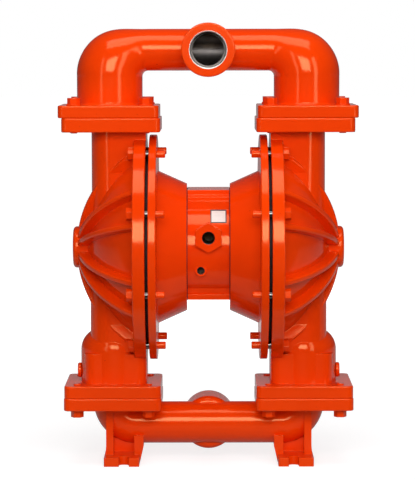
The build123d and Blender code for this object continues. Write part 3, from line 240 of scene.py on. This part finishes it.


# Fasteners: hexagon head bolts, washers and drain plugs, sprayed with the pump after assembly.
# The spray doesn't reach the shanks inside the flange gaps, which stay zinc plated; their zinc
# is darkened to near black as painted shade in the narrow gap.
flange_gap_x = 0.09805
flange_gap_half_w = 0.0023
# Zinc darkened to near black: painted shade in the flange gap.
shank_zinc_shaded = (0.14, 0.13, 0.12, 1)
fastener_enamel = enamel("fastener_enamel")
tree = fastener_enamel.node_tree
shader = tree.nodes["Principled BSDF"]
place = tree.nodes["Texture Coordinate"]
axes = tree.nodes.new("ShaderNodeSeparateXYZ")
tree.links.new(place.outputs["Object"], axes.inputs["Vector"])
side = tree.nodes.new("ShaderNodeMath")
side.operation = "ABSOLUTE"
tree.links.new(axes.outputs["X"], side.inputs[0])
gap = tree.nodes.new("ShaderNodeMath")
gap.operation = "COMPARE"
gap.inputs[1].default_value = flange_gap_x
gap.inputs[2].default_value = flange_gap_half_w
tree.links.new(side.outputs["Value"], gap.inputs[0])
painted = shader.inputs["Base Color"].links[0].from_socket
shank = tree.nodes.new("ShaderNodeMix")
shank.data_type = "RGBA"
shank.inputs["B"].default_value = shank_zinc_shaded
tree.links.new(gap.outputs["Value"], shank.inputs["Factor"])
tree.links.new(painted, shank.inputs["A"])
tree.links.new(shank.outputs["Result"], shader.inputs["Base Color"])
tree.links.new(gap.outputs["Value"], shader.inputs["Metallic"])
dress(fastener_enamel, "chamber_bolts_left", "chamber_bolts_right")
dress(
    enamel("small_enamel"),
    "outlet_bolts_left", "outlet_bolts_right", "inlet_bolts_left", "inlet_bolts_right",
    "outlet_washers_left", "outlet_washers_right", "inlet_washers_left", "inlet_washers_right",
    "drain_plug_left", "drain_plug_right",
)


# Bare metal inside the pump: turned seats, ground shaft and pilot rod, cast plates, zinc plated
# screws, bronze bushes and the anodised air valve. Each finish has its tool marks and stains.
def bare_metal(name, dark, light, roughness, scale, marks):
    material = bpy.data.materials.new(name)
    material.use_nodes = True
    tree = material.node_tree
    shader = tree.nodes["Principled BSDF"]
    shader.inputs["Metallic"].default_value = 1.0
    place = tree.nodes.new("ShaderNodeTexCoord")
    stretch = tree.nodes.new("ShaderNodeMapping")
    stretch.inputs["Scale"].default_value = marks
    tree.links.new(place.outputs["Object"], stretch.inputs["Vector"])
    noise = tree.nodes.new("ShaderNodeTexNoise")
    noise.inputs["Scale"].default_value = scale
    noise.inputs["Detail"].default_value = 5.0
    tree.links.new(stretch.outputs["Vector"], noise.inputs["Vector"])
    tint = tree.nodes.new("ShaderNodeValToRGB")
    tint.color_ramp.elements[0].position = 0.35
    tint.color_ramp.elements[0].color = (*dark, 1)
    tint.color_ramp.elements[1].position = 0.65
    tint.color_ramp.elements[1].color = (*light, 1)
    tree.links.new(noise.outputs["Fac"], tint.inputs["Fac"])
    tree.links.new(tint.outputs["Color"], shader.inputs["Base Color"])
    gloss = tree.nodes.new("ShaderNodeMapRange")
    gloss.inputs["To Min"].default_value = roughness * 0.8
    gloss.inputs["To Max"].default_value = roughness * 1.25
    tree.links.new(noise.outputs["Fac"], gloss.inputs["Value"])
    tree.links.new(gloss.outputs["Result"], shader.inputs["Roughness"])
    bump = tree.nodes.new("ShaderNodeBump")
    bump.inputs["Strength"].default_value = 0.15
    bump.inputs["Distance"].default_value = 0.0001
    tree.links.new(noise.outputs["Fac"], bump.inputs["Height"])
    tree.links.new(bump.outputs["Normal"], shader.inputs["Normal"])
    return material


dress(
    bare_metal("seat_turned", (0.42, 0.42, 0.41), (0.62, 0.62, 0.60), 0.32, 60, (1, 1, 12)),
    "inlet_seat_left", "inlet_seat_right", "outlet_seat_left", "outlet_seat_right",
)
dress(
    bare_metal("shaft_ground", (0.62, 0.62, 0.63), (0.78, 0.78, 0.79), 0.14, 80, (14, 1, 1)),
    "main_shaft", "pilot_rod",
)
dress(
    bare_metal("plate_cast", (0.52, 0.52, 0.53), (0.70, 0.70, 0.71), 0.40, 140, (1, 1, 1)),
    "inner_plate_left", "inner_plate_right", "outer_plate_left", "outer_plate_right",
)
dress(
    bare_metal("screw_zinc", (0.40, 0.40, 0.38), (0.56, 0.56, 0.52), 0.34, 200, (1, 1, 1)),
    "chamber_screws_left", "chamber_screws_right", "air_valve_body_screws",
    "air_valve_cap_screws",
)
dress(
    bare_metal("bush_bronze", (0.48, 0.31, 0.13), (0.64, 0.44, 0.20), 0.36, 120, (6, 1, 1)),
    "shaft_bushing_left", "shaft_bushing_right", "pilot_sleeve",
)
dress(
    bare_metal("valve_anodised", (0.56, 0.56, 0.57), (0.68, 0.68, 0.69), 0.28, 90, (1, 1, 8)),
    "air_valve_sleeve", "air_valve_spool",
)


# Rubber: balls, O-rings, lip seals and gaskets, moulded in black rubber with a faint bloom and
# the fine texture that the mould leaves.
def rubber(name, dark, light, scale):
    material = bpy.data.materials.new(name)
    material.use_nodes = True
    tree = material.node_tree
    shader = tree.nodes["Principled BSDF"]
    place = tree.nodes.new("ShaderNodeTexCoord")
    bloom = tree.nodes.new("ShaderNodeTexNoise")
    bloom.inputs["Scale"].default_value = scale
    bloom.inputs["Detail"].default_value = 6.0
    tree.links.new(place.outputs["Object"], bloom.inputs["Vector"])
    tint = tree.nodes.new("ShaderNodeValToRGB")
    tint.color_ramp.elements[0].position = 0.4
    tint.color_ramp.elements[0].color = (*dark, 1)
    tint.color_ramp.elements[1].position = 0.7
    tint.color_ramp.elements[1].color = (*light, 1)
    tree.links.new(bloom.outputs["Fac"], tint.inputs["Fac"])
    tree.links.new(tint.outputs["Color"], shader.inputs["Base Color"])
    gloss = tree.nodes.new("ShaderNodeMapRange")
    gloss.inputs["To Min"].default_value = 0.5
    gloss.inputs["To Max"].default_value = 0.75
    tree.links.new(bloom.outputs["Fac"], gloss.inputs["Value"])
    tree.links.new(gloss.outputs["Result"], shader.inputs["Roughness"])
    bump = tree.nodes.new("ShaderNodeBump")
    bump.inputs["Strength"].default_value = 0.2
    bump.inputs["Distance"].default_value = 0.0002
    tree.links.new(bloom.outputs["Fac"], bump.inputs["Height"])
    tree.links.new(bump.outputs["Normal"], shader.inputs["Normal"])
    return material


dress(
    rubber("seal_rubber", (0.018, 0.018, 0.019), (0.035, 0.035, 0.036), 90),
    "block_gasket_left", "block_gasket_right", "air_valve_gasket", "shaft_seal_left",
    "shaft_seal_right", "inlet_seat_oring_left", "inlet_seat_oring_right",
    "outlet_seat_oring_left", "outlet_seat_oring_right",
)
dress(
    rubber("ball_rubber", (0.022, 0.022, 0.024), (0.045, 0.045, 0.047), 40),
    "inlet_ball_left", "inlet_ball_right", "outlet_ball_left", "outlet_ball_right",
)


# Diaphragms: moulded rubber discs, clamped by their rims between chamber and cap and by their
# middles between two plates. In the pump the fold between them rolls over as the shaft strokes;
# here each disc is built as a thin surface with the fold raised in it, its thickness put on
# afterwards.
shaft_z = 0.352
rim_x = 0.09805
disc_r = 0.157
disc_t = 0.0048
rim_w = 0.019
fold_w = 0.070
fold_rise = 0.00995
fold_rings = 16
middle_w = 0.0577
disc_edge_r = 0.0006
diaphragm_rubber = rubber("diaphragm_rubber", (0.020, 0.020, 0.021), (0.050, 0.050, 0.052), 60)
for name, side in (("left", -1), ("right", 1)):
    bpy.ops.mesh.primitive_circle_add(
        vertices=96, radius=disc_r, fill_type="NGON",
        location=(side * rim_x, 0, shaft_z), rotation=(0, side * math.pi / 2, 0),
    )
    disc = bpy.context.object
    disc.name = f"diaphragm_{name}_moulded"
    bpy.ops.object.transform_apply(location=True, rotation=True, scale=True)
    bpy.ops.object.mode_set(mode="EDIT")
    bpy.ops.mesh.select_mode(type="FACE")
    bpy.ops.mesh.select_all(action="SELECT")
    bpy.ops.mesh.inset(thickness=rim_w, depth=0)
    risen = 0.0
    for ring in range(1, fold_rings + 1):
        share = ring / fold_rings
        height = fold_rise * share * share * (3 - 2 * share)
        bpy.ops.mesh.inset(thickness=fold_w / fold_rings, depth=0)
        bpy.ops.transform.translate(value=(side * (height - risen), 0, 0))
        risen = height
    bpy.ops.mesh.inset(thickness=middle_w, depth=0)
    bpy.ops.mesh.delete(type="FACE")
    bpy.ops.object.mode_set(mode="OBJECT")
    bpy.ops.object.shade_smooth()
    disc.data.materials.append(diaphragm_rubber)
    bpy.ops.object.select_all(action="DESELECT")
    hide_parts(f"diaphragm_{name}")
    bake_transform(disc)
    wall = disc.modifiers.new("wall", "SOLIDIFY")
    wall.thickness = disc_t
    wall.offset = 0.0
    edge = disc.modifiers.new("edge", "BEVEL")
    edge.width = disc_edge_r
    edge.segments = 2
    edge.limit_method = "ANGLE"


# Label: a square of white film on the block's bulge, with a printed border and a bare middle,
# a little rubbed and yellowed.
bare_middle = (("X", 0.0162, 0.0113), ("Z", 0.4058, 0.0085))
border_ink = (0.05, 0.045, 0.045, 1)
film_yellowed = (0.70, 0.68, 0.63, 1)
film_white = (0.82, 0.80, 0.76, 1)
label_film = bpy.data.materials.new("label_film")
label_film.use_nodes = True
tree = label_film.node_tree
shader = tree.nodes["Principled BSDF"]
place = tree.nodes.new("ShaderNodeTexCoord")
axes = tree.nodes.new("ShaderNodeSeparateXYZ")
tree.links.new(place.outputs["Object"], axes.inputs["Vector"])
inside = tree.nodes.new("ShaderNodeMath")
inside.operation = "MULTIPLY"
for slot, (axis, centre, half_w) in enumerate(bare_middle):
    line = tree.nodes.new("ShaderNodeMath")
    line.operation = "COMPARE"
    line.inputs[1].default_value = centre
    line.inputs[2].default_value = half_w
    tree.links.new(axes.outputs[axis], line.inputs[0])
    tree.links.new(line.outputs["Value"], inside.inputs[slot])
rub = tree.nodes.new("ShaderNodeTexNoise")
rub.inputs["Scale"].default_value = 180.0
tree.links.new(place.outputs["Object"], rub.inputs["Vector"])
white = tree.nodes.new("ShaderNodeValToRGB")
white.color_ramp.elements[0].color = film_yellowed
white.color_ramp.elements[1].color = film_white
tree.links.new(rub.outputs["Fac"], white.inputs["Fac"])
border = tree.nodes.new("ShaderNodeMix")
border.data_type = "RGBA"
border.inputs["A"].default_value = border_ink
tree.links.new(inside.outputs["Value"], border.inputs["Factor"])
tree.links.new(white.outputs["Color"], border.inputs["B"])
tree.links.new(border.outputs["Result"], shader.inputs["Base Color"])
scuff = tree.nodes.new("ShaderNodeMapRange")
scuff.inputs["To Min"].default_value = 0.3
scuff.inputs["To Max"].default_value = 0.5
tree.links.new(rub.outputs["Fac"], scuff.inputs["Value"])
tree.links.new(scuff.outputs["Result"], shader.inputs["Roughness"])
wrinkle = tree.nodes.new("ShaderNodeBump")
wrinkle.inputs["Strength"].default_value = 0.1
wrinkle.inputs["Distance"].default_value = 0.0001
tree.links.new(rub.outputs["Fac"], wrinkle.inputs["Height"])
tree.links.new(wrinkle.outputs["Normal"], shader.inputs["Normal"])
dress(label_film, "inlet_label")


# Studio: white paper that ends just in front of the pump and runs out of sight behind it, a dim
# room, and soft lights all round. The pump's shadow stays on the paper.
paper_size = 30
paper_front_y = -0.3
paper_grey = 0.42
reflected_share = 0.25

bpy.ops.mesh.primitive_plane_add(
    size=paper_size, location=(0, paper_front_y + paper_size / 2, 0)
)
floor = bpy.context.object
floor.name = "floor"
paper = bpy.data.materials.new("floor_paper")
paper.use_nodes = True
paper_tree = paper.node_tree
shader = paper_tree.nodes["Principled BSDF"]
shader.inputs["Base Color"].default_value = (paper_grey, paper_grey, paper_grey, 1)
shader.inputs["Roughness"].default_value = 0.9
shader.inputs["Specular IOR Level"].default_value = 0.0
shader.inputs["Emission Color"].default_value = (1, 1, 1, 1)
world = bpy.data.worlds.new("studio")
bpy.context.scene.world = world
world.use_nodes = True
world_tree = world.node_tree
sky = world_tree.nodes["Background"]
sky.inputs["Color"].default_value = (1, 1, 1, 1)


# White to the camera, a quarter as bright in reflections and through glass, and otherwise dim
def white_to_camera(tree, strength, plain):
    ray = tree.nodes.new("ShaderNodeLightPath")
    indirect = tree.nodes.new("ShaderNodeMath")
    indirect.operation = "MAXIMUM"
    tree.links.new(ray.outputs["Is Glossy Ray"], indirect.inputs[0])
    tree.links.new(ray.outputs["Is Transmission Ray"], indirect.inputs[1])
    weak = tree.nodes.new("ShaderNodeMath")
    weak.operation = "MULTIPLY"
    weak.inputs[1].default_value = reflected_share
    tree.links.new(indirect.outputs["Value"], weak.inputs[0])
    seen = tree.nodes.new("ShaderNodeMath")
    seen.operation = "MAXIMUM"
    tree.links.new(ray.outputs["Is Camera Ray"], seen.inputs[0])
    tree.links.new(weak.outputs["Value"], seen.inputs[1])
    level = tree.nodes.new("ShaderNodeMapRange")
    level.inputs["To Min"].default_value = plain
    level.inputs["To Max"].default_value = 1.0
    tree.links.new(seen.outputs["Value"], level.inputs["Value"])
    tree.links.new(level.outputs["Result"], strength)
    return weak, seen, level


# Out of the lights' reach the floor's own white makes up for them
_, _, floor_level = white_to_camera(paper_tree, shader.inputs["Emission Strength"], 0.0)
spot = paper_tree.nodes.new("ShaderNodeNewGeometry")
spread = paper_tree.nodes.new("ShaderNodeVectorMath")
spread.operation = "LENGTH"
paper_tree.links.new(spot.outputs["Position"], spread.inputs[0])
fade = paper_tree.nodes.new("ShaderNodeMapRange")
fade.inputs["From Min"].default_value = 0.5
fade.inputs["From Max"].default_value = 2.5
fade.inputs["To Min"].default_value = 0.78
fade.inputs["To Max"].default_value = 1.02
paper_tree.links.new(spread.outputs["Value"], fade.inputs["Value"])
paper_tree.links.new(fade.outputs["Result"], floor_level.inputs["To Max"])
floor.data.materials.append(paper)

# The room behind the camera is dim: reflections see the white only behind the pump
room_weak, room_seen, _ = white_to_camera(world_tree, sky.inputs["Strength"], 0.08)
bearing = world_tree.nodes.new("ShaderNodeTexCoord")
parts = world_tree.nodes.new("ShaderNodeSeparateXYZ")
world_tree.links.new(bearing.outputs["Generated"], parts.inputs["Vector"])
behind = world_tree.nodes.new("ShaderNodeMapRange")
behind.inputs["From Min"].default_value = 0.94
behind.inputs["From Max"].default_value = 0.985
world_tree.links.new(parts.outputs["Y"], behind.inputs["Value"])
backdrop = world_tree.nodes.new("ShaderNodeMath")
backdrop.operation = "MULTIPLY"
world_tree.links.new(room_weak.outputs["Value"], backdrop.inputs[0])
world_tree.links.new(behind.outputs["Result"], backdrop.inputs[1])
world_tree.links.new(backdrop.outputs["Value"], room_seen.inputs[1])

# Each light: name, bearing from the front, height angle, distance, width, height, power, and
# whether the paint mirrors it. All aim at a point on the pump's axis.
aim_z = 0.35
for name, bearing, rise, away, wide, high, power, mirrored in (
    ("top_light", 0, 72, 2.2, 1.8, 1.05, 22, True),
    ("front_light", 0, 19.5, 3.2, 1.6, 1.12, 51, True),
    ("left_light", -30, 16, 2.6, 0.3, 1.8, 5, True),
    ("right_light", 33, 16, 2.6, 0.5, 1.8, 12, True),
    ("low_light", 0, -12, 3.0, 1.6, 0.4, 4, False),
    ("back_light", 180, 12, 3.0, 1.6, 1.0, 26, False),
):
    lamp = bpy.data.lights.new(name, "AREA")
    lamp.shape = "RECTANGLE"
    lamp.size = wide
    lamp.size_y = high
    lamp.energy = power
    light = bpy.data.objects.new(name, lamp)
    turn = math.radians(bearing)
    tilt = math.radians(rise)
    light.location = (
        away * math.cos(tilt) * math.sin(turn),
        -away * math.cos(tilt) * math.cos(turn),
        aim_z + away * math.sin(tilt),
    )
    light.rotation_euler = (math.radians(90 - rise), 0, turn)
    light.visible_glossy = mirrored
    light.visible_camera = False
    bpy.context.scene.collection.objects.link(light)

camera_data = bpy.data.cameras.new("camera")
camera_data.lens = 178.3
camera = bpy.data.objects.new("camera", camera_data)
camera.location = (-0.001, -3.886, 0.674)
camera.rotation_euler = (math.radians(85.424), math.radians(0.1), 0)
bpy.context.scene.collection.objects.link(camera)
bpy.context.scene.camera = camera
bpy.context.scene.view_settings.view_transform = "Standard"
